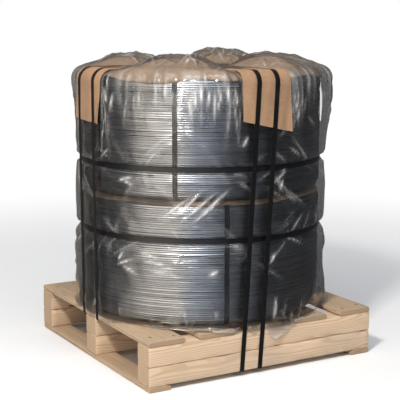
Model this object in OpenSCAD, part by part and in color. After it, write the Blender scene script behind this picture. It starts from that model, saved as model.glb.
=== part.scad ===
// Palletised coil of wire rod: two coils stacked on a timber pallet, with cardboard between
// and on top, wrapped in clear film and strapped down over four cardboard edge protectors.
// Millimetres. +Z is up, the pallet's front looks along -Y, and the origin is on the floor
// under the middle of the pallet.

/* [Coil] */
// Diameter of the rod
rod_d = 8; // [5.5:0.5:14]
// Space between neighbouring turns
turn_gap = 0.1; // [0.05:0.05:0.5]
// Outside diameter of each coil
coil_od = 970; // [860:5:1060]
// Layers of turns from the bore to the outside
coil_layers = 19; // [12:1:26]
// Turns in each layer
coil_turns = 58; // [36:1:70]
// Radius that the outer turns fall away by at each end of a coil
shoulder_r = 40; // [20:1:60]
// Share of a rod's diameter that a turn stands proud of the groove beside it
turn_proud = 0.25; // [0.15:0.05:0.25]
// Flats that a turn's round section is drawn with
turn_flats = 8; // [8:4:12]

/* [Coil ties] */
// Ties through the bore of each coil
tie_count = 4; // [3:1:6]
// Width of a tie
tie_w = 19; // [12:1:32]
// Thickness of a tie
tie_t = 1; // [0.6:0.1:1.5]
// Turn of the lower coil's first tie from the front
tie_turn_lower = -18; // [-45:1:45]
// Turn of the upper coil's first tie from the front
tie_turn_upper = -41; // [-60:1:60]

/* [Pallet] */
// Length and width of the pallet
pallet_w = 1000; // [900:10:1100]
// Number of deck boards
deck_count = 5; // [4:1:6]
// Width of a deck board
deck_w = 150; // [100:5:155]
// Thickness of a deck board
deck_t = 20; // [15:1:28]
// Width of a stringer timber
stringer_w = 90; // [60:5:95]
// Height of one stringer timber, two of which are stacked
stringer_h = 75; // [55:1:95]
// Width of a bottom board
bottom_w = 90; // [60:5:95]
// Thickness of a bottom board
bottom_t = 20; // [15:1:28]

/* [Cardboard] */
// Thickness of the sheet between the coils and of the sheet on top
sheet_t = 4; // [2:0.5:7]
// Depth that a sheet's rim droops over the coil below
sheet_rim = 34; // [12:1:60]
// Thickness of an edge protector
protector_t = 4; // [2:0.5:7]
// Width of an edge protector
protector_w = 210; // [160:5:250]
// Length of a protector's leg down the side
protector_drop = 200; // [120:5:220]
// Length of a protector's leg over the top
protector_reach = 185; // [120:5:220]

/* [Film] */
// Wall of the film
film_t = 1; // [0.5:0.1:2]
// Slack that the film bulges by between its hoops
film_slack = 10; // [1:0.5:16]
// Air between the film and the cardboard that it is drawn over
film_ease = 2; // [0.5:0.5:4]
// Height of the four puffs of the film on top, with the cardboard bowed up below them
puff_h = 62; // [30:2:90]
// Radius of a puff where it meets the flat top
puff_r = 134; // [90:2:140]
// Share of the coil's radius that a puff's middle is from each middle plane
puff_place = 0.445; // [0.44:0.005:0.46]

/* [Straps] */
// Width of a hoop or strap
strap_w = 19; // [12:1:32]
// Thickness of a hoop or strap
strap_t = 1; // [0.6:0.1:1.5]
// Distance between the two straps from front to back
long_spread = 80; // [60:2:160]
// Distance that the foot of a strap from front to back stands to the left of its top
long_lean = 66; // [0:2:110]
// Distance between the two straps from left to right, each side of the middle stringer
cross_spread = 122; // [112:2:160]
// Share of the stack's height that the lower hoop is at
hoop_low = 0.345; // [0.2:0.005:0.42]
// Share of the stack's height that the upper hoop is at
hoop_high = 0.625; // [0.58:0.005:0.75]
// Radius of a strap's turn round the pallet's sharp edges
strap_turn_r = 1; // [0.4:0.1:1]

/* [Fits] */
// Air between two pieces that rest on each other
seat = 0.3; // [0.1:0.05:0.5]

/* [Hidden] */
$fn = 96;
rod_r = rod_d / 2;
pitch = rod_d + turn_gap;
coil_r = coil_od / 2;
coil_h = coil_turns * pitch;
bore_r = coil_r - coil_layers * pitch;
turn_rise = turn_proud * rod_d;

// Turns that show on a coil: over its ends and round each shoulder, with a plain side between
side_len = coil_h - 2 * shoulder_r;
end_len = coil_r - shoulder_r - bore_r - rod_r;
turn_arc_r = shoulder_r - rod_r;
end_turns = round(end_len / pitch);
arc_turns = round(turn_arc_r * PI / 2 / pitch);

// Levels, from the floor up
deck_top = bottom_t + 2 * stringer_h + deck_t;
tie_space = tie_t + 2 * seat;
lower_z = deck_top + tie_space;
divider_z = lower_z + coil_h + tie_space;
upper_z = divider_z + sheet_t + tie_space;
top_sheet_z = upper_z + coil_h + tie_space;
film_top = top_sheet_z + sheet_t + seat;
stack_h = top_sheet_z + sheet_t - deck_top;
hoop_low_z = deck_top + hoop_low * stack_h;
hoop_high_z = deck_top + hoop_high * stack_h;

// Radii, from the coil out
tied_r = coil_r + tie_space;
sheet_r = tied_r + sheet_t;
film_side_r = sheet_r + film_ease;
film_max_r = film_side_r + film_slack + film_t;

// Each layer's fold over the coil's shoulder lies outside the one below
sheet_fold_r = shoulder_r + tie_space;
film_fold_r = sheet_fold_r + sheet_t + film_ease;
protector_bend_r = film_fold_r + film_t + seat;
hoop_r = tied_r + film_t + seat;
protector_r = film_max_r + seat;
protector_top = film_top + film_t + seat;

// Middle of a puff from each middle plane, and the ball that its skin is part of
puff_mid = puff_place * coil_r;
puff_ball_r = (puff_r * puff_r + puff_h * puff_h) / (2 * puff_h);

// Straps rest on a protector along their inner edges
strap_bend_r = protector_bend_r + protector_t;
strap_top = protector_top + protector_t + seat;

// Distance from the middle plane to the inner edge of a strap, at its nearest
long_inner = max(0, (long_spread - strap_w) / 2 - long_lean);
cross_inner = (cross_spread - strap_w) / 2;
film_steps = 8;

deck_names = [for (i = [1:deck_count]) str("deck_board_", i)];
rows = ["front", "middle", "back"];
columns = ["left", "right"];
sides = ["front", "right", "back", "left"];
lower_timbers = [for (r = rows) str("stringer_", r, "_lower")];
upper_timbers = [for (r = rows) str("stringer_", r, "_upper")];
bottom_names = [for (c = columns) str("bottom_board_", c)];
protector_names = [for (s = sides) str("edge_protector_", s)];
single_names = [
  "lower_coil", "lower_coil_ties", "divider_sheet", "upper_coil", "upper_coil_ties", "top_sheet",
  "film_wrap", "hoop_strap_lower", "hoop_strap_upper",
  "long_strap_left", "long_strap_right", "cross_strap_front", "cross_strap_back"
];

// Distance from the middle plane to a round load's edge, along a strap's inner edge
function chord(r, inner) = sqrt(r * r - inner * inner) + seat;

// Place of piece i of n like pieces of width w laid across the pallet
function spread(i, n, w) = -pallet_w / 2 + w / 2 + i * (pallet_w - w) / (n - 1);

// One stretch of the film's side, bulging between two places where it is held
function film_span(r0, z0, r1, z1) = [
  for (i = [0:film_steps])
    let (u = i / film_steps)
    [r0 + (r1 - r0) * u + film_slack * sin(180 * u), z0 + (z1 - z0) * u]
];

// The film's side from its hem to its shoulder
function film_side() =
  let (half = strap_w / 2, fold = film_top - film_fold_r)
  concat(
    film_span(film_side_r, deck_top + seat, tied_r, hoop_low_z - half),
    film_span(tied_r, hoop_low_z + half, film_side_r, divider_z - sheet_rim / 2),
    film_span(film_side_r, divider_z, tied_r, hoop_high_z - half),
    film_span(tied_r, hoop_high_z + half, film_side_r, fold)
  );

// Rectangle with round corners, one radius at its inner side and another at its outer side
module round_rect(w, h, r_in, r_out) {
  translate([r_in, 0])
    square([w - r_in - r_out, h]);
  translate([0, r_in])
    square([w / 2, h - 2 * r_in]);
  translate([w / 2, r_out])
    square([w / 2, h - 2 * r_out]);
  for (y = [r_in, h - r_in])
    translate([r_in, y])
      circle(r_in);
  for (y = [r_out, h - r_out])
    translate([w - r_out, y])
      circle(r_out);
}

// One turn of the rod in section
module turn(x, z) {
  translate([x, z])
    rotate(180 / turn_flats)
      circle(rod_r / cos(180 / turn_flats), $fn = turn_flats);
}

// Section of a coil: the packed turns inside, its plain side, and each turn on its ends
module coil_section() {
  core_w = coil_r - bore_r - 2 * turn_rise;
  translate([bore_r + turn_rise, turn_rise])
    round_rect(core_w, coil_h - 2 * turn_rise, turn_rise, shoulder_r - turn_rise);
  translate([coil_r - rod_d, shoulder_r])
    square([rod_d, side_len]);
  for (k = [0:end_turns])
    for (z = [rod_r, coil_h - rod_r])
      turn(bore_r + rod_r + k * end_len / end_turns, z);
  for (i = [1:arc_turns - 1])
    let (a = 90 * i / arc_turns, x = coil_r - shoulder_r + turn_arc_r * cos(a), z = turn_arc_r * sin(a)) {
      turn(x, shoulder_r - z);
      turn(x, coil_h - shoulder_r + z);
    }
}

module coil(z) {
  color("slategray")
    translate([0, 0, z])
      rotate_extrude()
        coil_section();
}

// What a tie goes round: a coil's section, grown by the tie and its fit
module tied(grow) {
  translate([-grow, -grow])
    round_rect(coil_r - bore_r + 2 * grow, coil_h + 2 * grow, rod_r + grow, shoulder_r + grow);
}

// One tie, standing in the plane of its loop
module tie_loop() {
  rotate([90, 0, 0])
    linear_extrude(tie_w, center = true)
      difference() {
        tied(seat + tie_t);
        tied(seat);
      }
}

module coil_ties(z, angle) {
  color("black")
    translate([0, 0, z])
      for (i = [0:tie_count - 1])
        rotate(angle - 90 + i * 360 / tie_count)
          translate([bore_r, 0, 0])
            tie_loop();
}

// Half section of a shape with a flat top and a round shoulder
module shouldered(r, top, foot, bend) {
  translate([0, foot])
    square([r, top - bend - foot]);
  translate([0, foot])
    square([r - bend, top - foot]);
  translate([r - bend, top - bend])
    circle(bend);
}

// Cardboard disc with its rim drooping over the shoulder of the coil below
module folded_sheet(z) {
  top = z + sheet_t;
  low = top - sheet_fold_r - sheet_t - sheet_rim;
  color("peru")
    rotate_extrude()
      intersection() {
        difference() {
          shouldered(sheet_r, top, low, sheet_fold_r + sheet_t);
          shouldered(tied_r, z, low - sheet_t, sheet_fold_r);
        }
        translate([0, top - sheet_rim])
          square([sheet_r + sheet_t, sheet_rim + sheet_t]);
      }
}

// Half section of what the film holds, to the film's inside or, grown by its wall, its outside
module film_section(grow) {
  top = film_top + grow;
  side = [for (p = film_side()) [p[0] + grow, p[1]]];
  polygon(concat(
    [[0, deck_top + seat]],
    side,
    [[film_side_r - film_fold_r, film_top - film_fold_r], [0, film_top - film_fold_r]]
  ));
  translate([0, film_top - film_fold_r - seat])
    square([film_side_r - film_fold_r, film_fold_r + grow + seat]);
  intersection() {
    translate([film_side_r - film_fold_r, film_top - film_fold_r])
      circle(film_fold_r + grow);
    translate([0, film_top - film_fold_r])
      square([film_side_r + grow, top - film_top + film_fold_r]);
  }
}

// The four puffs above level foot: the film's inside, grown to its outside or shrunk to the cardboard below
module puffs(grow, foot) {
  for (sx = [-1, 1])
    for (sy = [-1, 1])
      intersection() {
        translate([sx * puff_mid, sy * puff_mid, film_top + puff_h - puff_ball_r])
          sphere(puff_ball_r + grow);
        translate([sx * puff_mid - puff_ball_r, sy * puff_mid - puff_ball_r, foot])
          cube([2 * puff_ball_r, 2 * puff_ball_r, puff_h + 2 * film_t]);
      }
}

// The sheet on top bows up between the straps, under the film's puffs
module top_sheet() {
  color("peru")
    difference() {
      union() {
        folded_sheet(top_sheet_z);
        puffs(-film_ease, top_sheet_z + sheet_t / 2);
      }
      puffs(-film_ease - sheet_t, top_sheet_z - seat);
    }
}

module film_wrap() {
  color("lightblue", 0.4)
    difference() {
      union() {
        rotate_extrude()
          film_section(film_t);
        puffs(film_t, film_top);
      }
      rotate_extrude()
        film_section(0);
      puffs(0, film_top - film_t);
    }
}

module hoop(z) {
  color("black")
    rotate_extrude()
      translate([hoop_r, z - strap_w / 2])
        square([strap_t, strap_w]);
}

// What a taut strap goes round: the load, and the pallet from level foot up
module strapped(foot, top, inner) {
  strap_side = chord(protector_r + protector_t, inner);
  strap_foot = chord(film_max_r, inner);
  hull() {
    for (s = [-1, 1]) {
      translate([s * (strap_side - strap_bend_r), top - strap_bend_r])
        circle(strap_bend_r);
      translate([s * (strap_side - strap_bend_r), protector_top - protector_drop])
        square([2 * strap_bend_r, seat], center = true);
      translate([s * (strap_foot - strap_turn_r), deck_top + strap_turn_r])
        circle(strap_turn_r);
      translate([s * (pallet_w / 2 + seat - strap_turn_r), foot - seat + strap_turn_r])
        circle(strap_turn_r);
    }
  }
}

// Closed loop of strap in the XZ plane
module strap_loop(foot, top, inner) {
  rotate([90, 0, 0])
    linear_extrude(strap_w, center = true)
      difference() {
        offset(r = strap_t)
          strapped(foot, top, inner);
        strapped(foot, top, inner);
      }
}

// Moves what stands below level top to the left, the further the lower it is
module leaning(slope, top) {
  multmatrix([[1, 0, slope, -slope * top], [0, 1, 0, 0], [0, 0, 1, 0], [0, 0, 0, 1]])
    children();
}

// Strap from front to back, under the stringers
module long_strap(side) {
  color("black")
    translate([side * long_spread / 2, 0, 0])
      leaning(long_lean / (strap_top - bottom_t), strap_top)
        rotate(90)
          strap_loop(bottom_t, strap_top, long_inner);
}

// Strap from left to right, under the deck boards
module cross_strap(side) {
  color("black")
    translate([0, side * cross_spread / 2, 0])
      strap_loop(deck_top - deck_t, strap_top + strap_t + seat, cross_inner);
}

module edge_protector(quarter) {
  out_r = protector_r + protector_t;
  top = protector_top + protector_t;
  foot = top - protector_drop;
  color("burlywood")
    rotate(quarter * 90)
      intersection() {
        rotate_extrude()
          difference() {
            shouldered(out_r, top, foot, protector_bend_r + protector_t);
            shouldered(protector_r, protector_top, foot - protector_t, protector_bend_r);
          }
        translate([-protector_w / 2, -out_r - protector_t, foot])
          cube([protector_w, protector_reach + protector_t, protector_drop]);
      }
}

module deck_board(i) {
  color("burlywood")
    translate([spread(i, deck_count, deck_w) - deck_w / 2, -pallet_w / 2, deck_top - deck_t])
      cube([deck_w, pallet_w, deck_t]);
}

module stringer_timber(row, level) {
  color("tan")
    translate([-pallet_w / 2, spread(row, 3, stringer_w) - stringer_w / 2, bottom_t + level * stringer_h])
      cube([pallet_w, stringer_w, stringer_h]);
}

module bottom_board(column) {
  color("burlywood")
    translate([spread(column, 2, bottom_w) - bottom_w / 2, -pallet_w / 2, 0])
      cube([bottom_w, pallet_w, bottom_t]);
}

for (i = [0:1])
  bottom_board(i);
for (i = [0:2])
  stringer_timber(i, 0);
for (i = [0:2])
  stringer_timber(i, 1);
for (i = [0:deck_count - 1])
  deck_board(i);
coil(lower_z);  // lower_coil
coil_ties(lower_z, tie_turn_lower);  // lower_coil_ties
folded_sheet(divider_z);  // divider_sheet
coil(upper_z);  // upper_coil
coil_ties(upper_z, tie_turn_upper);  // upper_coil_ties
top_sheet();
film_wrap();
hoop(hoop_low_z);  // hoop_strap_lower
hoop(hoop_high_z);  // hoop_strap_upper
long_strap(-1);  // long_strap_left
long_strap(1);  // long_strap_right
cross_strap(-1);  // cross_strap_front
cross_strap(1);  // cross_strap_back
for (i = [0:3])
  edge_protector(i);
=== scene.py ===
# %% [markdown]
# # Coil of wire rod on its pallet
# Two coils of steel rod stand on a timber pallet. Cardboard lies between and on top of them, clear film
# is pulled over the stack, and black straps hold it all down over four cardboard edge protectors. The
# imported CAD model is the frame. Each piece below replaces a plain CAD node by a mesh with the waves and
# wear of the real thing, or gives the node a finish where its shape is already right.

import math

import bpy
import numpy as np
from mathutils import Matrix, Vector


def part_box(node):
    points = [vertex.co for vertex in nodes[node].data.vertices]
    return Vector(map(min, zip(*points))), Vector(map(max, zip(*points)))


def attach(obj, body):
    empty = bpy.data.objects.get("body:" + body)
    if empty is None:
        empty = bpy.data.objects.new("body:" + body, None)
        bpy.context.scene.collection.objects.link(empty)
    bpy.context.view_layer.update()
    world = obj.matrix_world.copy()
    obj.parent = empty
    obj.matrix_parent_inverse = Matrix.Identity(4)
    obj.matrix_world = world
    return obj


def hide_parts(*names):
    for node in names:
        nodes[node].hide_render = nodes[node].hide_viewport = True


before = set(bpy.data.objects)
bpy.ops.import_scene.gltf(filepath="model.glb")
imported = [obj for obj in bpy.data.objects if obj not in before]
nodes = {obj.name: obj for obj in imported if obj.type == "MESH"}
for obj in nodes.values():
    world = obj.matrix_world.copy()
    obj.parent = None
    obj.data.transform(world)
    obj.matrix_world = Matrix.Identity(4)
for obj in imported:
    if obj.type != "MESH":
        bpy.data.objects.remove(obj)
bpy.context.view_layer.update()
print("CAD nodes:", len(nodes))

# %% [markdown]
# ## Sizes
# Turns are counted from the front (-Y) towards the right (+X), so that turn 0 faces the pallet's front.
# The two straps from front to back lean: their feet stand further left than their tops. The numbers could
# be typed in. Reading them from the nodes' boxes keeps the looks on the CAD model, so only the layers and
# the rounding that no box shows are given here.

# %% Sizes
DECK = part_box("deck_board_1")[1].z
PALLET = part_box("stringer_front_lower")[1].x
COIL_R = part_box("lower_coil")[1].x
SHEET_T, SEAT = 0.004, 0.0003
TIE_SPACE, FILM_EASE, SHOULDER = 0.0016, 0.002, 0.040
SHEET_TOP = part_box("upper_coil_ties")[1].z + SEAT + SHEET_T
FILM_TOP = SHEET_TOP + SEAT
FILM_R = COIL_R + TIE_SPACE + SHEET_T + FILM_EASE
FILM_FOLD = SHOULDER + TIE_SPACE + SHEET_T + FILM_EASE
FLAT_R = FILM_R - FILM_FOLD
STRAP_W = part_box("hoop_strap_lower")[1].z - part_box("hoop_strap_lower")[0].z
HOOPS = [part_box(name)[0].z + STRAP_W / 2 for name in ("hoop_strap_lower", "hoop_strap_upper")]
LONG_LOW, LONG_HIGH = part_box("long_strap_right")
LONG_X = LONG_HIGH.x - STRAP_W / 2
LEAN = (LONG_HIGH.x - LONG_LOW.x - STRAP_W) / (LONG_HIGH.z - LONG_LOW.z)
CROSS_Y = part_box("cross_strap_back")[0].y + STRAP_W / 2
GUARD_LOW, GUARD_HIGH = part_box("edge_protector_front")
GUARD_W, GUARD_IN = GUARD_HIGH.x, -GUARD_HIGH.y
print(f"coil radius {COIL_R:.4f} m, deck at {DECK:.3f} m")
print(f"film top at {FILM_TOP:.4f} m, strap lean {LEAN:.3f}")

# %% [markdown]
# ## Shader sums
# A finish is a sum of masks and noises. Wiring each Math node by hand hides that sum, so one small class
# wraps a socket: wrapped sockets take part in ordinary arithmetic, and each operator adds its Math node.
# `make` adds any other node. Colours go through `mix`, because a Math node would turn them grey.


# %% Shader class
class Sock:
    """A shader socket that adds, multiplies and mixes like a number."""

    def __init__(self, tree, socket=None):
        self.tree, self.socket = tree, socket

    def make(self, kind, values=None, settings=None, out=0):
        """Any node, from its input values by name or number."""
        n = self.tree.nodes.new("ShaderNode" + kind)
        for key, value in (settings or {}).items():
            setattr(n, key, value)
        for key, value in (values or {}).items():
            put(self.tree, n.inputs[key], value)
        return Sock(self.tree, n.outputs[out])

    def math(self, op, other=0.0):
        return self.make("Math", {0: self, 1: other}, {"operation": op})

    def __add__(self, o):
        return self.math("ADD", o)

    __radd__ = __add__

    def __sub__(self, o):
        return self.math("SUBTRACT", o)

    def __rsub__(self, o):
        return self * -1.0 + o

    def __mul__(self, o):
        return self.math("MULTIPLY", o)

    __rmul__ = __mul__

    def __pow__(self, o):
        return self.math("POWER", o)

    def step(self, low, high):
        """0 below low, 1 above high and smooth between."""
        values = {"Value": self, "From Min": low, "From Max": high}
        return self.make("MapRange", values, {"interpolation_type": "SMOOTHSTEP"})

    def mix(self, a, b):
        """Colour a where this is 0 and b where it is 1."""
        return self.make("Mix", {0: self, 6: a, 7: b}, {"data_type": "RGBA"}, out=2)

    def scaled(self, x, y, z):
        return self.make("VectorMath", {0: self, 1: (x, y, z)}, {"operation": "MULTIPLY"})

    def noise(self, scale, detail=3.0, rough=0.55):
        return self.make("TexNoise", {"Vector": self, "Scale": scale, "Detail": detail, "Roughness": rough})

    def part(self, k):
        return self.make("SeparateXYZ", {0: self}, out=k)

    def vein(self, width):
        """1 along the lines where a noise crosses its middle, 0 away from them."""
        return 1.0 - (self - 0.5).math("ABSOLUTE").step(0.0, width)


print("shader class ready")


# %% Material helpers
def put(tree, socket, value):
    """Links a wrapped socket, or sets a plain value."""
    if isinstance(value, Sock):
        tree.links.new(value.socket, socket)
    elif hasattr(value, "__len__") and socket.type == "RGBA" and len(value) == 3:
        socket.default_value = (*value, 1.0)
    else:
        socket.default_value = value


def material(name):
    """An empty material, its principled shader and a starter socket."""
    mat = bpy.data.materials.new(name)
    mat.use_nodes = True
    return mat, mat.node_tree.nodes["Principled BSDF"], Sock(mat.node_tree)


def attribute(start, name):
    return start.make("Attribute", settings={"attribute_name": name}, out=2)


def place_of(start):
    """The point on the object, in metres."""
    return start.make("TexCoord", out=3)


def dress(mat, shader, **values):
    for key, value in values.items():
        put(mat.node_tree, shader.inputs[key.replace("_", " ")], value)
    return mat


def bump(height, strength, distance):
    return height.make("Bump", {"Strength": strength, "Distance": distance, "Height": height})


print("material helpers ready")

# %% [markdown]
# ## Mesh helpers
# Rod, boards, sheets and film all have rows of points one way and columns the other. They could be
# modelled by hand or with modifiers. Here each is a numpy grid: a whole coil or film is one mesh, its
# waves are sums of arrays, and seeded noise gives the same result on each run.


# %% Mesh helpers
def grid_faces(rows, cols, wrap_cols=True, wrap_rows=False, start=0):
    """Quads between the points of a grid that are numbered row by row."""
    r = np.arange(rows if wrap_rows else rows - 1)[:, None]
    c = np.arange(cols if wrap_cols else cols - 1)[None, :]
    r2, c2 = (r + 1) % rows, (c + 1) % cols
    quads = np.stack([r * cols + c, r * cols + c2, r2 * cols + c2, r2 * cols + c], -1)
    return quads.reshape(-1, 4) + start


def piece(name, verts, faces, mat, slot, replaces=(), attributes=None, smoothed=True):
    """A mesh from arrays, riding on the one body, with its material. Its slot is not used."""
    mesh = bpy.data.meshes.new(name)
    mesh.from_pydata(np.asarray(verts).tolist(), [], [list(map(int, f)) for f in faces])
    mesh.update()
    mesh.polygons.foreach_set("use_smooth", np.full(len(mesh.polygons), smoothed))
    for key, values in (attributes or {}).items():
        is_vector = np.ndim(values) == 2
        layer = mesh.attributes.new(key, "FLOAT_VECTOR" if is_vector else "FLOAT", "POINT")
        layer.data.foreach_set("vector" if is_vector else "value", np.asarray(values, np.float32).ravel())
    obj = bpy.data.objects.new(name, mesh)
    bpy.context.scene.collection.objects.link(obj)
    mesh.materials.append(mat)
    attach(obj, "root")
    if replaces:
        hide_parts(*replaces)
    return obj


def split_edges(obj, degrees):
    """Keeps the edges that bend more than this sharp."""
    mod = obj.modifiers.new("edges", "EDGE_SPLIT")
    mod.split_angle = math.radians(degrees)


def around(radius, height, turn):
    """Points at a radius and height, at each turn from the front."""
    return np.stack([radius * np.sin(turn), -radius * np.cos(turn), height + 0 * turn], -1)


print("mesh helpers ready")


# %% Waves and noise
def smooth(x, low, high):
    """0 below low, 1 above high and smooth between."""
    t = np.clip((x - low) / (high - low), 0, 1)
    return t * t * (3 - 2 * t)


def noise2(u, v, nu, nv, seed):
    """Smooth random values from 0 to 1 over u, which wraps round at 1, and v from 0 to 1."""
    cells = np.random.default_rng(seed).random((nu, nv + 2))
    x, y = np.mod(u, 1.0) * nu, np.clip(v, 0, 1) * nv
    i, j = np.floor(x).astype(int) % nu, np.floor(y).astype(int)
    fx, fy = smooth(x - np.floor(x), 0, 1), smooth(y - np.floor(y), 0, 1)
    a = cells[i, j] * (1 - fx) + cells[(i + 1) % nu, j] * fx
    b = cells[i, j + 1] * (1 - fx) + cells[(i + 1) % nu, j + 1] * fx
    return a * (1 - fy) + b * fy


def crest(n):
    """Sharp ridges along the middle values of a noise."""
    return 1 - np.abs(2 * n - 1)


print("a noise at four places round the coil:", noise2(np.arange(4) / 4, np.zeros(4), 4, 1, 1).round(2))

# %% [markdown]
# ## Steel rod
# The rod is bare steel with a dull blue-grey sheen, and no two turns have quite the same tone. One flat
# metal would look like a pipe. A tone for each turn, fine streaks along the rod and broad clouds are
# mixed instead.

# %% Rod material
rod_mat, rod_shader, s = material("steel_rod")
place = place_of(s)
streak = place.scaled(3, 3, 120).noise(2.0, 3.0)
cloud = place.noise(4.0, 3.0)
tone = (attribute(s, "tone") * 0.25 + streak * 0.3 + cloud * 0.45).step(0.3, 0.75)
dress(
    rod_mat,
    rod_shader,
    Base_Color=tone.mix((0.22, 0.23, 0.25), (0.36, 0.372, 0.395)),
    Metallic=0.92,
    Roughness=streak * 0.12 + 0.24,
)
print("rod material ready")

# %% [markdown]
# ## Coils
# Each coil is one long rod laid in turns, so its skin is a great many fine ridges. A bump pattern would
# draw the lines but not their outline and glints, and a helix of pipe would cost too many faces. So the
# coil's section is walked from the bore over the top, down the side and back under, and every turn is a
# half-round ridge that wavers a little.

# %% Coil turns
ROD_D, LAYERS = 0.0081, 19
TURN_COLS, TURN_INSET, TURN_WAVER = 180, 0.0006, 0.0004
# Angles, in degrees, at which the points of a ridge stand across the rod
RIDGE = (-72, -25, 25, 72)


def section_turns(bore, radius, low, high):
    """Radius, height and facing of each turn of a coil's skin, from the bore over the top to the bore."""
    rod = ROD_D / 2
    end = radius - SHOULDER
    arc = SHOULDER - rod
    across = round((end - bore - rod) / ROD_D)
    bends = round(arc * math.pi / 2 / ROD_D)
    downs = round((high - low - 2 * SHOULDER) / ROD_D)
    out = [(r, high - rod, 90.0) for r in np.linspace(bore + rod, end, across + 1)]
    for a in np.linspace(90, 0, bends + 1)[1:-1]:
        t = math.radians(a)
        out.append((end + arc * math.cos(t), high - SHOULDER + arc * math.sin(t), a))
    out += [(radius - rod, z, 0.0) for z in np.linspace(high - SHOULDER, low + SHOULDER, downs + 1)]
    out += [(r, low + high - z, -a) for r, z, a in out[::-1] if a > 0]
    return out


def coil(name, seed):
    """A coil in its node's box, drawn turn by turn."""
    lo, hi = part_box(name)
    rng = np.random.default_rng(seed)
    turn = np.arange(TURN_COLS) / TURN_COLS * 2 * math.pi

    def waver(size, waves):
        return sum(rng.normal(0, size) * np.cos(k * turn + rng.uniform(0, 6.3)) for k in waves)

    rows, tones = [], []
    for r, z, facing in section_turns(hi.x - LAYERS * ROD_D, hi.x, lo.z, hi.z):
        out = waver(TURN_WAVER, (1, 2, 3, 5))
        lift = waver(TURN_WAVER, (1, 2, 4))
        shade = rng.random()
        for side in RIDGE:
            t = math.radians(facing - side)
            ridge = r + out + ROD_D / 2 * math.cos(t) - TURN_INSET
            rows.append(around(ridge, z + lift + ROD_D / 2 * math.sin(t), turn))
            tones.append(np.full(TURN_COLS, shade))
    faces = grid_faces(len(rows), TURN_COLS, wrap_rows=True)[:, ::-1]
    shades = {"tone": np.concatenate(tones)}
    return piece(name + "_turns", np.concatenate(rows), faces, rod_mat, "steel_rod", [name], shades)


coils = [coil("lower_coil", 3), coil("upper_coil", 4)]
print("coil faces:", [len(c.data.polygons) for c in coils])

# %% [markdown]
# ## Timber
# The pallet is sawn softwood: rings, fibres and a few knots, greyer in places and darker at the ends. A
# wood pattern in object space would run one grain through all boards. Here the rings are circles round a
# heart line in each board's own grain coordinates, so they run along the board and differ from board to
# board.


# %% Timber material
def timber(name, light, dark, grey):
    """Sawn wood between a light and a dark tone, with grey blots."""
    mat, shader, s = material(name)
    grain = s.make("Attribute", settings={"attribute_name": "grain"}, out=1)
    own = attribute(s, "own")
    sway = grain.scaled(1.1, 3, 3).noise(1.3, 2.0) - 0.5
    cell = grain.scaled(3.4, 13.0, 13.0)
    spot = cell.make("TexVoronoi", {"Vector": cell, "Scale": 1.0, "Randomness": 1.0})
    knot = 1.0 - spot.step(0.05, 0.085)
    swirl = 1.0 - spot.step(0.05, 0.32)
    across = grain.part(1) + sway * 0.05
    up = grain.part(2) + own * 0.02 - 0.035
    radius = (across * across + up * up + 0.00001) ** 0.5 + swirl * 0.007
    ring = (radius * 1150.0 + grain.scaled(2, 40, 40).noise(2.0) * 3.0).math("SINE") * 0.5 + 0.5
    fibre = grain.scaled(5, 330, 330).noise(1.0)
    blot = grain.scaled(3, 7, 7).noise(1.6, 4.0)
    wood = (ring**2.2 * 0.55 + fibre * 0.45).step(0.12, 0.95).mix(light, dark)
    wood = ((blot + own * 0.25).step(0.45, 0.95) * 0.6).mix(wood, grey)
    wood = (knot * 0.8).mix(wood, (0.13, 0.062, 0.03))
    wood = (attribute(s, "end") * 0.5).mix(wood, (0.30, 0.19, 0.105))
    relief = ring * 0.25 + fibre * 0.6 + blot * 0.4
    rough = fibre * 0.2 + 0.62
    return dress(mat, shader, Base_Color=wood, Roughness=rough, Normal=bump(relief, 0.5, 0.002))


stringer_mat = timber("stringer_timber", (0.70, 0.51, 0.345), (0.52, 0.345, 0.205), (0.46, 0.36, 0.27))
# Deck and bottom boards get a darker copy of the pallet timber: painted shade where they lie under the
# load.
shaded_deck_mat = timber("deck_timber", (0.50, 0.36, 0.235), (0.34, 0.22, 0.125), (0.27, 0.215, 0.16))
print("timber ready")

# %% [markdown]
# ## Boards
# Sawn boards are straight, but their edges are worn and chipped and they bow a little. A box with a bevel
# would give every board the same clean edge. So each board is a section with rounded corners that is
# carried along in steps, with the corners chipped by chance at each step.

# %% Boards
WORN, CHIP, END_CHIP = 0.0045, 0.004, 0.0012
BOARD_STEPS, END_STEP = 37, 0.002
BOW, SLIM = 0.0006, 0.999


def board_section(half_w, half_t, worn):
    """Points round a board's section, with three to each worn corner and a corner mark."""
    loop = []
    for sw, st in ((1, 1), (-1, 1), (-1, -1), (1, -1)):
        start = math.atan2(st, sw) - math.pi / 4
        for t in (0, math.pi / 4, math.pi / 2):
            w = sw * (half_w - worn) + worn * math.cos(start + t)
            loop.append((w, st * (half_t - worn) + worn * math.sin(start + t), 1))
        if sw == st:
            loop += [(sw * half_w * f, st * half_t, 0) for f in (0.6, 0.2, -0.2, -0.6)]
        else:
            loop += [(sw * half_w, st * half_t * f, 0) for f in (0.3, -0.3)]
    return np.array(loop)


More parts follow.
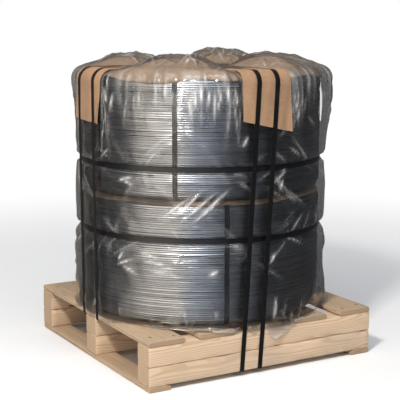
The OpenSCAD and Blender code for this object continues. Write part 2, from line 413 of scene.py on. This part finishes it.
def board(name, axis, seed, mat, slot):
    """A sawn board in its node's box. axis 0 runs along X and 1 along Y."""
    lo, hi = (np.array(v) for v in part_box(name))
    rng = np.random.default_rng(seed)
    other = 1 - axis
    half = np.array([hi[other] - lo[other], hi[2] - lo[2]]) / 2
    length = hi[axis] - lo[axis]
    loop = board_section(*half, WORN)
    n = len(loop)
    between = np.linspace(0, length, BOARD_STEPS)[1:-1]
    steps = np.concatenate([[0, END_STEP], between, [length - END_STEP, length]])
    rows = []
    for x in steps:
        chip = np.where(loop[:, 2] > 0, rng.random(n) ** 6 * CHIP, 0) + END_CHIP * (x in (0, length))
        rows.append(np.column_stack([np.full(n, x), loop[:, :2] * (1 - chip[:, None] / half)]))
    local = np.concatenate([*rows, rows[0], rows[-1]])
    first, last = len(local) - 2 * n, len(local) - n
    faces = [list(f) for f in grid_faces(len(steps), n)]
    faces += [list(range(first + n - 1, first - 1, -1)), list(range(last, last + n))]
    if axis == 1:
        faces = [f[::-1] for f in faces]
    bow = BOW * np.sin(local[:, 0] / length * math.pi * rng.uniform(0.7, 2.2) + rng.uniform(0, 6))
    verts = np.zeros((len(local), 3))
    verts[:, axis] = lo[axis] + local[:, 0]
    verts[:, other] = (lo[other] + hi[other]) / 2 + local[:, 1] * SLIM + bow
    verts[:, 2] = (lo[2] + hi[2]) / 2 + local[:, 2]
    shift = [rng.uniform(0, 40), rng.uniform(-0.02, 0.02), rng.uniform(-0.02, 0.02)]
    marks = {
        "grain": local + shift,
        "own": np.full(len(local), rng.random()),
        "end": np.arange(len(local)) >= first,
    }
    obj = piece(name + "_timber", verts, faces, mat, slot, [name], marks)
    split_edges(obj, 50)
    return obj


boards = []
for k, name in enumerate(sorted(n for n in nodes if n.startswith("stringer_"))):
    boards.append(board(name, 0, 40 + k, stringer_mat, "stringer_timber"))
for k, name in enumerate(sorted(n for n in nodes if n.startswith(("deck_board", "bottom_board")))):
    boards.append(board(name, 1, 60 + k, shaded_deck_mat, "deck_timber"))
print("boards:", len(boards))

# %% [markdown]
# ## Nails
# Two nails fix each deck board to each stringer, and only their flat heads show. Separate discs would be
# many objects for small marks, so all heads are low domes in one joined mesh.

# %% Nails
nail_mat, nail_shader, s = material("nail")
dress(nail_mat, nail_shader, Base_Color=(0.16, 0.15, 0.145), Metallic=0.8, Roughness=0.5)
NAIL_R, NAIL_H, NAIL_SIDES = 0.0052, 0.0008, 14
NAIL_SHARES, STRAY_ACROSS, STRAY_ALONG = (0.24, 0.76), 0.006, 0.012


def nail_heads(centres):
    """Low domed discs as one mesh."""
    t = np.arange(NAIL_SIDES) / NAIL_SIDES * 2 * math.pi
    verts, faces = [], []
    for c in centres:
        base = len(verts)
        for r, h in ((1, -0.001), (1, NAIL_H * 0.6), (0.8, NAIL_H)):
            out = NAIL_R * r
            verts += [(c[0] + out * math.cos(a), c[1] + out * math.sin(a), c[2] + h) for a in t]
        faces += [list(f) for f in grid_faces(3, NAIL_SIDES, start=base)]
        faces.append(list(range(base + 2 * NAIL_SIDES, base + 3 * NAIL_SIDES)))
    return verts, faces


rng = np.random.default_rng(11)
heads = []
for name in nodes:
    if name.startswith("deck_board"):
        lo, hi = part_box(name)
        for row in ("front", "middle", "back"):
            a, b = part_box(f"stringer_{row}_upper")
            for share in NAIL_SHARES:
                x = lo.x + (hi.x - lo.x) * share + rng.normal(0, STRAY_ACROSS)
                heads.append((x, (a.y + b.y) / 2 + rng.normal(0, STRAY_ALONG), hi.z))
piece("nails", *nail_heads(heads), nail_mat, "steel_rod", smoothed=False)
print("nails:", len(heads))

# %% [markdown]
# ## Cardboard
# Sheets and protectors are brown corrugated board: cloudy, flecked, a little scuffed, with faint flutes.
# Flutes could be modelled, but they hardly stand out, so a sine across the board gives them in colour and
# bump.

# %% Cardboard material
FLUTE = 0.0075


def kraft(name, tint):
    """Brown board of a tint, with flutes across its flute coordinate."""
    mat, shader, s = material(name)
    place = place_of(s)
    flutes = (attribute(s, "flute") * (2 * math.pi / FLUTE)).math("SINE") * 0.5 + 0.5
    fleck = place.noise(420.0, 2.0)
    cloud = place.noise(9.0, 4.0)
    scuff = place.scaled(1, 1, 2.2).noise(34.0, 4.0).step(0.55, 0.8)
    tone = (cloud * 0.75 + fleck * 0.22 + flutes * 0.1).step(0.25, 0.85)
    colour = tone.mix([c * 0.78 for c in tint], [c * 1.12 for c in tint])
    colour = (scuff * 0.14).mix(colour, (0.66, 0.5, 0.36))
    height = flutes * 0.5 + cloud * 1.5 + fleck * 0.12
    rough = fleck * 0.12 + 0.72
    return dress(mat, shader, Base_Color=colour, Roughness=rough, Normal=bump(height, 0.35, 0.0015))


# The sheets' kraft is its own brown, greyed to paint the sheen of the film that lies over it.
sheen_greyed_sheet_mat = kraft("kraft_sheet", (0.275, 0.196, 0.139))
guard_mat = kraft("kraft_protector", (0.34, 0.20, 0.11))
print("cardboard ready")

# %% [markdown]
# ## Sheets
# One sheet lies between the coils and one on top, where it bows up in the four fields between the straps.
# Both droop over the coil below with a wavy, crimped rim. Cloth simulation would give soft folds, but
# board keeps its bend, so each sheet is a round grid with a rim that bends by a different amount at each
# turn.

# %% Crown of the top
# Swell of each field: front left, front right, back left, back right
SWELLS = np.array([0.048, 0.055, 0.044, 0.050])
FIELD_EDGE, FIELD_FULL, PLAN = 0.008, 0.15, 1.2


def from_above(x, y):
    """Noise coordinates of a place seen from above."""
    return (x + PLAN / 2) / PLAN, (y + PLAN / 2) / PLAN


def crown(x, y):
    """Height that the cardboard and the film swell to on top, in the fields between the straps."""
    field = smooth(np.abs(x) - LONG_X, FIELD_EDGE, FIELD_FULL)
    field = field * smooth(np.abs(y) - CROSS_Y, FIELD_EDGE, FIELD_FULL)
    for line, face in ((np.abs(x), np.abs(y)), (np.abs(y), np.abs(x))):
        field = field * smooth(np.maximum(line - GUARD_W, GUARD_IN - face), 0.002, 0.08)
    high = SWELLS[(x > 0) + 2 * (y > 0)]
    flow = noise2(*from_above(x, y), 7, 7, 111)
    rim = 0.2 + 0.8 * smooth(FLAT_R - np.hypot(x, y), -0.03, 0.14)
    return high * np.sqrt(field) * (0.72 + 0.45 * flow) * rim


print("swell of each field:", SWELLS)

# %% Sheets
SHEET_COLS, SHEET_FOLD, CRIMP = 240, 0.046, 0.006


def kraft_sheet(name, top, droop, swell, seed):
    """A round sheet in its node's place, swelling by a share of the crown and drooping at its rim."""
    cols, radius, fold = SHEET_COLS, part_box(name)[1].x, SHEET_FOLD
    turn = np.arange(cols) / cols * 2 * math.pi
    u = turn / (2 * math.pi)
    rim = droop * (0.6 + 0.7 * noise2(u, 0 * u, 23, 1, seed))
    crimp = CRIMP * (noise2(u, 0 * u, 90, 1, seed + 1) - 0.5)
    bend = np.arccos(np.clip(1 - rim / fold, -1, 1))
    rows = [(r + 0 * turn, top + 0 * turn, 1.0) for r in np.linspace(0.0005, radius - fold, 32)]
    for t in np.linspace(0, 1, 9)[1:]:
        out = radius - fold + (fold + crimp * t) * np.sin(t * bend)
        rows.append((out, top - fold + fold * np.cos(t * bend), (1 - t) ** 1.5))
    upper, lower = [], []
    for r, z, share in rows:
        lift = swell * share * crown(r * np.sin(turn), -r * np.cos(turn))
        upper.append(around(r, z + lift, turn))
        lower.append(around(r - SHEET_T * (1 - share), z + lift - SHEET_T * 0.9, turn))
    verts = np.concatenate(upper + lower[::-1])
    faces = grid_faces(2 * len(rows), cols, wrap_rows=True)[:, ::-1]
    return piece(name + "_board", verts, faces, sheen_greyed_sheet_mat, "kraft_sheet", [name], {"flute": verts[:, 0]})


divider_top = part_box("divider_sheet")[1].z
sheets = [
    kraft_sheet("divider_sheet", divider_top, 0.014, 0.0, 21),
    kraft_sheet("top_sheet", SHEET_TOP, 0.032, 0.92, 27),
]
print("sheets:", [sheet.name for sheet in sheets])

# %% [markdown]
# ## Edge protectors
# A protector is a strip of board that the straps bend over the coil's edge. Its free lower end flares at
# the corners, and one corner hangs lower. A bent plane with a thickness modifier would come close. Here
# the strip's path is walked along the top, round the bend and down, which lets flare, ripple and hang
# grow along it.

# %% Edge protectors
GUARD_BEND, GUARD_T, GUARD_COLS = 0.053, 0.0036, 33
FREE_END, HANGING_END = 0.14, 0.22
FLARE_RIGHT, FLARE_LEFT = 0.020, 0.008


def protector(name, quarter, seed, slant):
    """Bent board over the edge. slant is how far its lower right corner hangs below the left one."""
    out_r, top, low = -GUARD_LOW.y, GUARD_HIGH.z, GUARD_LOW.z
    side = out_r - GUARD_BEND
    cols = np.linspace(-1, 1, GUARD_COLS)
    path = [(r, top, 90) for r in np.linspace(GUARD_IN, side, 12)]
    for a in np.linspace(90, 0, 12)[1:]:
        t = math.radians(a)
        path.append((side + GUARD_BEND * math.cos(t), top - GUARD_BEND + GUARD_BEND * math.sin(t), a))
    path += [(out_r, z, 0) for z in np.linspace(top - GUARD_BEND, low, 16)[1:]]
    run = np.cumsum([0] + [math.dist(a[:2], b[:2]) for a, b in zip(path, path[1:])])
    layers = []
    for depth in (0.0, GUARD_T):
        rows = []
        for (r, z, a), d in zip(path, run):
            t = math.radians(a)
            x = cols * GUARD_W * (1 + 0.004 * math.sin(d * 40 + seed))
            free = smooth(d, run[-1] - FREE_END, run[-1])
            hang = smooth(d, run[-1] - HANGING_END, run[-1])
            flare = FLARE_RIGHT * smooth(cols, 0.7, 1.2) + FLARE_LEFT * smooth(-cols, 0.72, 1.2)
            flare = free * flare
            ripple = 0.0007 * np.sin(cols * 9 + seed + d * 12) + 0.0004 * np.sin(cols * 17 + d * 31)
            round_off = out_r - np.sqrt(np.clip(out_r**2 - x**2, 0, None))
            y = r + (flare + ripple - depth) * math.cos(t) - round_off * smooth(r, GUARD_IN, side + 0.02)
            height = z + (ripple - depth) * math.sin(t) - hang * slant * (cols + 0.35) / 2
            rows.append(np.stack([x, -y, height], 1))
        layers.append(rows)
    stack = layers[0] + layers[1][::-1]
    faces = [list(f) for f in grid_faces(len(stack), GUARD_COLS, wrap_cols=False, wrap_rows=True)[:, ::-1]]
    k = len(path)
    for col in (0, GUARD_COLS - 1):
        for i in range(k - 1):
            quad = [i, i + 1, 2 * k - 2 - i, 2 * k - 1 - i]
            faces.append([q * GUARD_COLS + col for q in (quad[::-1] if col else quad)])
    verts = np.concatenate(stack)
    cos = round(math.cos(quarter * math.pi / 2))
    sin = round(math.sin(quarter * math.pi / 2))
    x, y, z = verts.T
    verts = np.stack([x * cos - y * sin, x * sin + y * cos, z], 1)
    flute = np.repeat([*run, *run[::-1]], GUARD_COLS)
    obj = piece(name + "_board", verts, faces, guard_mat, "kraft_protector", [name], {"flute": flute})
    split_edges(obj, 45)
    return obj


# How far the lower right corner of each hangs
SLANTS = {"front": 0.046, "right": 0.012, "back": -0.015, "left": 0.010}
for quarter, (side, slant) in enumerate(SLANTS.items()):
    protector(f"edge_protector_{side}", quarter, 5 + quarter, slant)
print("protectors:", len(SLANTS))

# %% [markdown]
# ## Straps
# The black strap is polyester with a fine embossed pattern that breaks up its shine. Modelled dents would
# cost far more than they show. The CAD loops already follow the load, so they are kept and only get a
# bumped finish.

# %% Strap material
strap_mat, strap_shader, s = material("black_strap")
place = place_of(s)
emboss = place.make("TexVoronoi", {"Vector": place, "Scale": 260.0})
dust = place.noise(14.0, 4.0).step(0.5, 0.8)
dress(
    strap_mat,
    strap_shader,
    Base_Color=(dust * 0.5).mix((0.005, 0.005, 0.0055), (0.016, 0.016, 0.017)),
    Roughness=dust * 0.2 + 0.34,
    Specular_IOR_Level=0.45,
    Normal=bump(emboss, 0.25, 0.0006),
)
bands = [name for name in nodes if "strap" in name or "ties" in name]
for name in bands:
    obj = nodes[name]
    obj.data.materials.clear()
    obj.data.materials.append(strap_mat)
print("straps and ties dressed:", len(bands))

# %% [markdown]
# ## Film
# The film is a clear bag over the stack. Cloth simulation of so thin a sheet is slow and can't be steered
# to given creases. So the film is one grid of points: a hem on the deck, the side, the shoulder and the
# top. Each point has a radius, a height, a share of the hem and a tilt, and is moved outwards in the
# cells that follow.

# %% Film grid
FILM_COLS, HEM_ROWS, SIDE_ROWS, BEND_ROWS, TOP_ROWS = 464, 9, 120, 14, 60
FOOT_GAP, TOP_MIDDLE = 0.002, 0.012
turn = np.arange(FILM_COLS) / FILM_COLS * 2 * math.pi
foot, fold_z = DECK + FOOT_GAP, FILM_TOP - FILM_FOLD
path = [(FILM_R, foot, 1 - t, 0.0) for t in np.linspace(0, 1, HEM_ROWS, endpoint=False)]
path += [(FILM_R, z, 0.0, 0.0) for z in np.linspace(foot, fold_z, SIDE_ROWS, endpoint=False)]
for a in np.linspace(0, math.pi / 2, BEND_ROWS, endpoint=False):
    path.append((FLAT_R + FILM_FOLD * math.cos(a), fold_z + FILM_FOLD * math.sin(a), 0.0, a))
path += [(r, FILM_TOP, 0.0, math.pi / 2) for r in np.linspace(FLAT_R, TOP_MIDDLE, TOP_ROWS)]
path = np.array(path)
R0, Z0, HEM, TILT = (path[:, k][:, None] + 0 * turn for k in range(4))
A = turn + 0 * R0
U, V = A / (2 * math.pi), np.clip((Z0 - foot) / (FILM_TOP - foot), 0, 1)
X0, Y0 = R0 * np.sin(A), -R0 * np.cos(A)
print("film grid:", len(path), "by", FILM_COLS)

# %% [markdown]
# ## Slack and gathers
# Between the hoops the film hangs slack, in flat panes that meet at slanting ridges. At the top it is
# gathered in upright pleats, and at the hoops it puckers. One noise for all would look like crumpled
# paper. So each of these is a layer of its own, with its own direction, size and place, and the layers
# are added up later.


# %% Film slack, panes and gathers
def bulge(low, high):
    """A swell of 1 between two heights."""
    return np.sin(math.pi * np.clip((Z0 - low) / (high - low), 0, 1)) ** 0.8


def near(degrees, width):
    """1 at a turn, falling off to each side of it."""
    away = (A - math.radians(degrees) + math.pi) % (2 * math.pi) - math.pi
    return np.exp(-((away / math.radians(width)) ** 2))


loose = 0.2 + 1.2 * noise2(U, V, 9, 4, 101)
slack = loose * (0.010 * bulge(DECK - 0.08, HOOPS[0]) + 0.008 * bulge(*HOOPS))
slack += (loose * 0.011 + near(62, 30) * 0.016) * bulge(HOOPS[1], FILM_TOP + 0.04)
panes = 0.008 * crest(noise2(U + 0.20 * V, V, 27, 5, 102)) ** 1.5
panes += 0.007 * crest(noise2(U - 0.28 * V, V, 23, 6, 103)) ** 1.5
panes *= 0.25 + 0.75 * smooth(noise2(U, V, 8, 3, 104), 0.3, 0.7)
reach = FILM_TOP - 0.08 - 0.20 * noise2(U, 0 * U, 41, 1, 105)
gather = smooth(Z0, reach - 0.04, FILM_TOP - 0.01)
pleat = crest(noise2(U + 0.015 * V, 0.5 * V, 70, 1, 106)) ** 3
pleats = gather * (0.012 * pleat + 0.005 * crest(noise2(U, 0.5 * V, 128, 1, 107)) ** 2)
hoop_near = sum(np.exp(-np.abs(Z0 - z) / 0.032) for z in HOOPS)
pucker = hoop_near * 0.006 * crest(noise2(U, V, 96, 3, 108)) ** 2
pucker *= smooth(noise2(U, V, 13, 4, 109), 0.35, 0.65)
print("most slack:", round(float(slack.max()), 4))

# %% [markdown]
# ## Creases
# Creases are short sharp ridges that catch the light. A noise would spread them evenly, so each is drawn
# as a stroke. Those listed are placed from the photo. The rest fan out from where straps cross the
# hoops, run slantwise between the hoops, or hang from the gathered top, beside the protectors above all.

# %% Creases listed
PLACED = [
    # turn, height, lean, half length, width
    (-31.0, 0.650, 42, 0.150, 0.008),
    (-34.6, 0.665, 46, 0.110, 0.008),
    (-25.0, 0.660, 44, 0.140, 0.009),
    (-28.0, 0.630, 40, 0.120, 0.007),
    (-40.0, 0.650, 38, 0.110, 0.008),
    (-24.4, 0.405, 28, 0.035, 0.014),
    (-48.0, 0.435, -10, 0.100, 0.008),
    (-45.0, 0.400, -6, 0.080, 0.008),
    (-52.0, 0.465, -16, 0.070, 0.008),
    (-10.9, 0.890, 62, 0.035, 0.009),
    (-37.5, 1.060, 86, 0.070, 0.009),
    (-32.0, 1.055, 94, 0.080, 0.008),
    (-26.5, 1.050, 84, 0.070, 0.009),
    (-22.0, 1.065, 97, 0.060, 0.008),
    (-44.0, 1.075, 88, 0.050, 0.010),
    (-29.5, 1.065, 92, 0.070, 0.010),
    (-18.5, 1.060, 96, 0.070, 0.009),
    (-15.0, 1.050, 99, 0.060, 0.009),
    (-77.0, 1.060, 70, 0.050, 0.010),
    (-74.0, 1.050, 100, 0.050, 0.009),
    (-70.5, 1.030, 75, 0.060, 0.010),
    (-64.0, 0.745, 15, 0.050, 0.009),
    (-62.0, 0.733, -20, 0.040, 0.008),
    (-64.0, 0.430, 20, 0.060, 0.008),
    (-61.5, 0.402, -25, 0.050, 0.008),
    (-66.0, 0.450, 60, 0.040, 0.009),
    (7.0, 0.720, 68, 0.035, 0.009),
    (3.0, 0.445, 66, 0.035, 0.009),
    (3.5, 0.250, 84, 0.070, 0.009),
]
rng = np.random.default_rng(8)
# The last value is each listed crease's painted highlight, here at full strength.
strokes = [(*line, rng.uniform(0.006, 0.010), 1.0) for line in PLACED]
print("creases placed by eye:", len(strokes))


# %% Creases by chance
def scatter(count, turns, heights, leans, lengths, white):
    """Random creases in a range of turns, heights, leans to either side and half lengths."""
    for _ in range(count):
        lean = rng.choice([-1, 1]) * rng.uniform(*leans)
        size = (rng.uniform(*lengths), rng.uniform(0.006, 0.010), rng.uniform(0.003, 0.008))
        strokes.append((rng.uniform(*turns), rng.uniform(*heights), lean, *size, white * rng.random()))


for quarter, half in ((0, LONG_X), (90, CROSS_Y), (180, LONG_X), (270, CROSS_Y)):
    strap_turn = math.degrees(math.asin(half / FILM_R))
    for side in (-1, 1):
        for z in HOOPS:
            middle = quarter + side * (strap_turn + 6)
            scatter(4, (middle - 6, middle + 6), (z - 0.07, z + 0.07), (25, 65), (0.05, 0.13), 0.55)
        beside = quarter + side * math.degrees(math.asin((GUARD_W + 0.03) / FILM_R))
        below_top = (FILM_TOP - 0.24, FILM_TOP - 0.12)
        scatter(4, (beside - 3, beside + 3), below_top, (80, 88), (0.10, 0.20), 0.7)
scatter(90, (0, 360), (DECK + 0.05, FILM_TOP - 0.15), (20, 70), (0.05, 0.18), 0.45)
scatter(110, (0, 360), (FILM_TOP - 0.15, FILM_TOP - 0.03), (78, 90), (0.05, 0.14), 0.85)
scatter(60, (0, 360), (DECK, DECK + 0.06), (55, 88), (0.03, 0.08), 0.5)
print("creases in all:", len(strokes))

# %% Crease ridges
creases, white = np.zeros_like(A), np.zeros_like(A)
for degrees, z, lean, length, width, high, pale in strokes:
    away = (A - math.radians(degrees) + math.pi) % (2 * math.pi) - math.pi
    x, y = away * FILM_R, Z0 - z
    cos, sin = math.cos(math.radians(lean)), math.sin(math.radians(lean))
    along, across = x * cos + y * sin, y * cos - x * sin
    across = across + 0.06 * along**2 / length
    line = np.clip(1 - (along / length) ** 2, 0, 1) ** 1.5 * np.exp(-np.abs(across) / width)
    creases = np.maximum(creases, high * line)
    # Along its crest each crease also gets a painted highlight, a milky white.
    white = np.maximum(white, pale * line**3)
on_side = 1 - smooth(TILT, 0.6, 1.3)
creases, white = creases * on_side, white * on_side
print("highest crease:", round(float(creases.max()), 4))

# %% [markdown]
# ## Film on top
# On top the film lies over the bowed cardboard with small folds of its own. A second noise for its swell
# would push the cardboard through it, so the swell is the sheet's, and the folds are strokes as on the
# side.

# %% Film top
px, py = from_above(X0, Y0)
swell = crown(X0, Y0)
free_top = np.clip(swell / 0.03, 0, 1)
wrinkle = 0.008 * crest(noise2(px, py, 21, 21, 112)) ** 2
wrinkle += 0.004 * crest(noise2(px, py, 47, 47, 113)) ** 2
wrinkle += 0.007 * smooth(R0, 0.25, 0.46) * crest(noise2(U, 0 * U, 61, 1, 114)) ** 2
folds, glints = np.zeros_like(A), np.zeros_like(A)
TOP_FOLDS, FOLDS_OUT = 170, 0.47
for _ in range(TOP_FOLDS):
    turned = rng.uniform(0, 2 * math.pi)
    out = FOLDS_OUT * rng.uniform(0.2, 1.0) ** 0.6
    lean = turned + rng.normal(0, 0.5)
    length = rng.uniform(0.04, 0.13)
    width = rng.uniform(0.004, 0.008)
    x, y = X0 - out * math.sin(turned), Y0 + out * math.cos(turned)
    along = x * math.sin(lean) - y * math.cos(lean)
    across = x * math.cos(lean) + y * math.sin(lean)
    across = across + 0.12 * along**2 / length
    line = np.clip(1 - (along / length) ** 2, 0, 1) ** 1.5 * np.exp(-np.abs(across) / width)
    folds = np.maximum(folds, rng.uniform(0.003, 0.008) * line)
    glints = np.maximum(glints, 0.8 * rng.random() * line**3)
top = swell + free_top * (wrinkle + folds) + 0.002 * free_top
rise = smooth(TILT, 0.15, 1.5)
# The folds on top carry painted highlights too.
white = np.maximum(white, glints * free_top * rise)
print("highest swell:", round(float((top * rise).max()), 4))

# %% [markdown]
# ## Film held in place
# The layers are added up to how far the film stands off the coils. Straps, hoops and protectors press it
# in, which a simulation would find by collision. Here a mask round each of them limits how far the film
# may stand there.

# %% Film held in place
STRAP_REACH, STRAP_GAP = 0.022, 0.004
HOOP_REACH, HOOP_PRESS = 0.017, 0.0055
# The straps hold the film further out than STRAPS_FROM. FAR stands for no strap near.
STRAPS_FROM, FAR = 0.3, 9.0
stand = slack + panes + pleats + pucker + creases + 0.001
stand = stand * (1 - rise) + top * rise + 0.0012
shift = LEAN * (LONG_HIGH.z - Z0)
beside = np.full_like(A, FAR)
for side in (-1, 1):
    long_gap = np.abs(X0 - side * LONG_X + shift)
    cross_gap = np.abs(Y0 - side * CROSS_Y)
    beside = np.minimum(beside, np.where(np.abs(Y0) > STRAPS_FROM, long_gap, FAR))
    beside = np.minimum(beside, np.where(np.abs(X0) > STRAPS_FROM, cross_gap, FAR))
held = np.exp(-((beside / STRAP_REACH) ** 2))
stand = stand * (1 - held) + np.minimum(stand, STRAP_GAP) * held
on_hoop = sum(np.exp(-(((Z0 - z) / HOOP_REACH) ** 6)) for z in HOOPS)
stand = stand * (1 - on_hoop) - HOOP_PRESS * on_hoop
guarded = np.zeros_like(A)
for line, face in ((X0, Y0), (Y0, X0)):
    over = 1 - smooth(np.abs(line), GUARD_W - 0.002, GUARD_W + 0.024)
    over *= smooth(np.abs(face), GUARD_IN - 0.03, GUARD_IN)
    over *= smooth(Z0, GUARD_LOW.z - 0.05, GUARD_LOW.z - 0.02)
    guarded = np.maximum(guarded, over)
under_guard = 0.006 * (1 - rise) + 0.0008 * rise
stand = stand * (1 - guarded) + np.minimum(stand, under_guard) * guarded
print("film stands off by up to", round(float(stand.max()), 4))

# %% [markdown]
# ## Hem
# The film's loose end spreads over the deck, furthest at the front left and the front, and what reaches
# past the pallet's edge hangs down. The hem rows are moved out by a wavy width and folded down past the
# edge, which is quicker and steadier than dropping a cloth.

# %% Hem
EDGE_GAP, FOLDED_BACK = 0.004, 0.9
spread = 0.008 + 0.05 * noise2(U, 0 * U, 31, 1, 121) * noise2(U, 0 * U, 9, 1, 122)
spread += 0.045 * near(-30, 13) + 0.032 * near(4, 4)
radius = R0 + stand * np.cos(TILT) + HEM * spread * (1 - held)
height = Z0 + stand * np.sin(TILT) + HEM**1.5 * 0.010 * noise2(U, HEM, 83, 3, 123) * (1 - held)
verts = around(radius, height, A)
for axis in (0, 1):
    past = np.maximum(np.abs(verts[..., axis]) - PALLET - EDGE_GAP, 0) * (HEM > 0)
    verts[..., axis] -= np.sign(verts[..., axis]) * past * FOLDED_BACK
    verts[..., 2] -= past
print("hem reaches", round(float(np.abs(verts[..., :2]).max()), 3), "m from the middle")

# %% Film mesh
# The milky share: 0.005 of faint haze everywhere, then painted highlights on creases, folds and top pleats.
# The hem is milkier for its folded layers; the extra at the front left and front is painted highlight.
haze_and_painted_glints = 0.005 + 0.85 * white + 0.16 * gather * pleat**2 * on_side
haze_and_painted_glints += HEM * (0.07 + 0.3 * near(-28, 13) + 0.25 * near(4, 4))
faces = [list(f) for f in grid_faces(len(path), FILM_COLS)]
last = (len(path) - 1) * FILM_COLS
faces += [[last + k, last + (k + 1) % FILM_COLS, len(path) * FILM_COLS] for k in range(FILM_COLS)]
points = np.concatenate([verts.reshape(-1, 3), [[0, 0, float(height[-1].mean())]]])
haze_and_painted_glints = np.append(haze_and_painted_glints.ravel(), 0.02)
print("film faces:", len(faces))

# %% [markdown]
# ## Film finish
# The film is clear. It mirrors by both its faces, more so at a slant, and is faintly milky. A refracting
# shader needs a closed wall, and the film is one sheet. So three shaders are mixed: a clear one, a mirror
# by the slant of the face, and a milky one, laid on thick along creases, pleats and hem, where its white
# is partly creased film and partly painted highlight.

# %% Film material
film_mat, film_shader, s = material("clear_film")
tree = film_mat.node_tree
place = place_of(s)
crumple = place.scaled(1, 1, 0.7).noise(22.0, 2.0, 0.4)
hanging = place.scaled(26, 26, 5).noise(1.0, 2.0).vein(0.05)
slanting = place.scaled(9, 9, 12).noise(1.0, 2.0).vein(0.03)
relief = crumple * 0.35 + hanging * 0.2 + slanting * 0.25
ripple = bump(relief, 0.3, 0.005)
dress(film_mat, film_shader, Base_Color=(0.95, 0.945, 0.93), Metallic=1.0, Roughness=0.07, Normal=ripple)
haze_and_glint_shader = s.make("BsdfPrincipled", {"Base Color": (0.88, 0.86, 0.83), "Roughness": 0.5, "Normal": ripple})
clear = s.make("BsdfTransparent", {"Color": (0.975, 0.975, 0.97)})
edge = s.make("Fresnel", {"IOR": 1.5, "Normal": ripple})
shine = ((edge - 0.022) * 1.7).math("MAXIMUM", 0.012).math("MINIMUM", 0.9)
mirror = Sock(tree, film_shader.outputs[0])
glass = s.make("MixShader", {0: shine, 1: clear, 2: mirror})
skin = s.make("MixShader", {0: attribute(s, "haze_and_painted_glints"), 1: glass, 2: haze_and_glint_shader})
tree.links.new(skin.socket, tree.nodes["Material Output"].inputs["Surface"])
print("film material ready")

# %% Film piece
film = piece("film", points, faces, film_mat, "clear_film", ["film_wrap"], {"haze_and_painted_glints": haze_and_painted_glints})

# %% [markdown]
# ## Studio
# A pale floor runs out into a white backdrop. Steel and film look like what they mirror, so a plain white
# room would leave them flat. What they mirror here is a broad cream band to the left, blue-grey in front
# and dark to the right, which draws the bright upright band down the coils. Only glossy rays see it, so
# matt cardboard and timber are hardly touched by it.


# %% Mirrored surroundings
def mirrored(place):
    """Colour of the surroundings that shiny things mirror, by their turn round the part."""
    way = place.part(0).math("ARCTAN2", place.part(1) * -1.0)

    def between(a, b, c, d):
        rising = way.step(math.radians(a), math.radians(b))
        return rising * (1.0 - way.step(math.radians(c), math.radians(d)))

    tone = between(-150, -110, 105, 140).mix((0.2, 0.17, 0.145), (0.05, 0.057, 0.075))
    tone = between(-46, -40, -34, 2).mix(tone, (1.25, 1.38, 1.58))
    return between(-100, -84, -50, -42).mix(tone, (3.2, 2.85, 2.45))


print("surroundings ready")

# %% Floor
FLOOR = 30
floor_mat, floor_shader, s = material("floor")
place = place_of(s)
glossy, camera_ray = s.make("LightPath", out=3), s.make("LightPath", out=0)
distance = place.make("VectorMath", {0: place}, {"operation": "LENGTH"}, out=1)
backdrop = distance.step(1.0, 4.5)
floor_tone = glossy.mix((0.86, 0.86, 0.86), (0.05, 0.05, 0.05))
floor_tone = (backdrop * camera_ray).mix(floor_tone, (0, 0, 0))
glow = (backdrop * camera_ray).mix((0, 0, 0), (1, 1, 1))
glow = (glossy * 0.5).mix(glow, mirrored(place))
dress(
    floor_mat,
    floor_shader,
    Base_Color=floor_tone,
    Roughness=0.9,
    Emission_Color=glow,
    Emission_Strength=1.0,
)
mesh = bpy.data.meshes.new("floor")
corners = [(-FLOOR, -FLOOR, 0), (FLOOR, -FLOOR, 0), (FLOOR, FLOOR, 0), (-FLOOR, FLOOR, 0)]
mesh.from_pydata(corners, [], [(0, 1, 2, 3)])
floor = bpy.data.objects.new("floor", mesh)
mesh.materials.append(floor_mat)
bpy.context.scene.collection.objects.link(floor)
print("floor ready,", 2 * FLOOR, "m wide")

# %% World
world = bpy.data.worlds.new("studio")
bpy.context.scene.world = world
world.use_nodes = True
ws = Sock(world.node_tree)
camera_ray, glossy = ws.make("LightPath", out=0), ws.make("LightPath", out=3)
tone = glossy.mix((0.48, 0.49, 0.51), mirrored(ws.make("TexCoord", out=0)))
tone = camera_ray.mix(tone, (1.0, 1.0, 1.0))
put(world.node_tree, world.node_tree.nodes["Background"].inputs["Color"], tone)
print("world ready")

# %% [markdown]
# ## Lamps
# The photo is lit from the front left, with soft light from above. A sun lamp would give hard shadows, so
# a small panel stands in for the sun and a large faint one for the sky. Both stay at a plain level, at
# which a colour renders about as it is written.


# %% Lamps
def facing(azimuth, elevation):
    """Unit vector from the part towards an azimuth and elevation in degrees."""
    a, e = math.radians(azimuth), math.radians(elevation)
    return Vector((math.sin(a) * math.cos(e), -math.cos(a) * math.cos(e), math.sin(e)))


def aim(obj, azimuth, elevation, distance, target):
    """Puts a lamp or camera at a distance from a target and turns it to look there."""
    back = facing(azimuth, elevation)
    obj.location = Vector(target) + back * distance
    obj.rotation_mode = "QUATERNION"
    obj.rotation_quaternion = (-back).to_track_quat("-Z", "Y")
    bpy.context.scene.collection.objects.link(obj)
    return obj


def lamp(name, azimuth, elevation, distance, size, power, colour):
    """A soft rectangular lamp."""
    data = bpy.data.lights.new(name, "AREA")
    data.shape = "RECTANGLE"
    data.size, data.size_y = size
    data.energy = power
    data.color = colour
    return aim(bpy.data.objects.new(name, data), azimuth, elevation, distance, (0, 0, 0.6))


lamp("sun", -48, 42, 5.0, (0.6, 0.6), 200, (1.0, 0.975, 0.94))
lamp("sky", -15, 65, 5.0, (2.5, 2.5), 70, (0.95, 0.975, 1.0))

# %% [markdown]
# ## Camera
# It looks from the front left and a little from above, as the photo does. A wide lens close by would make
# the uprights lean. A long lens from further off keeps them straight, as they are in the photo.

# %% Camera
camera_data = bpy.data.cameras.new("camera")
camera_data.lens = 98
camera = aim(bpy.data.objects.new("camera", camera_data), -30, 9.5, 4.5, (0, 0, 0.595))
bpy.context.scene.camera = camera
bpy.context.scene.view_settings.view_transform = "Standard"
print("camera at", [round(x, 2) for x in camera.location])
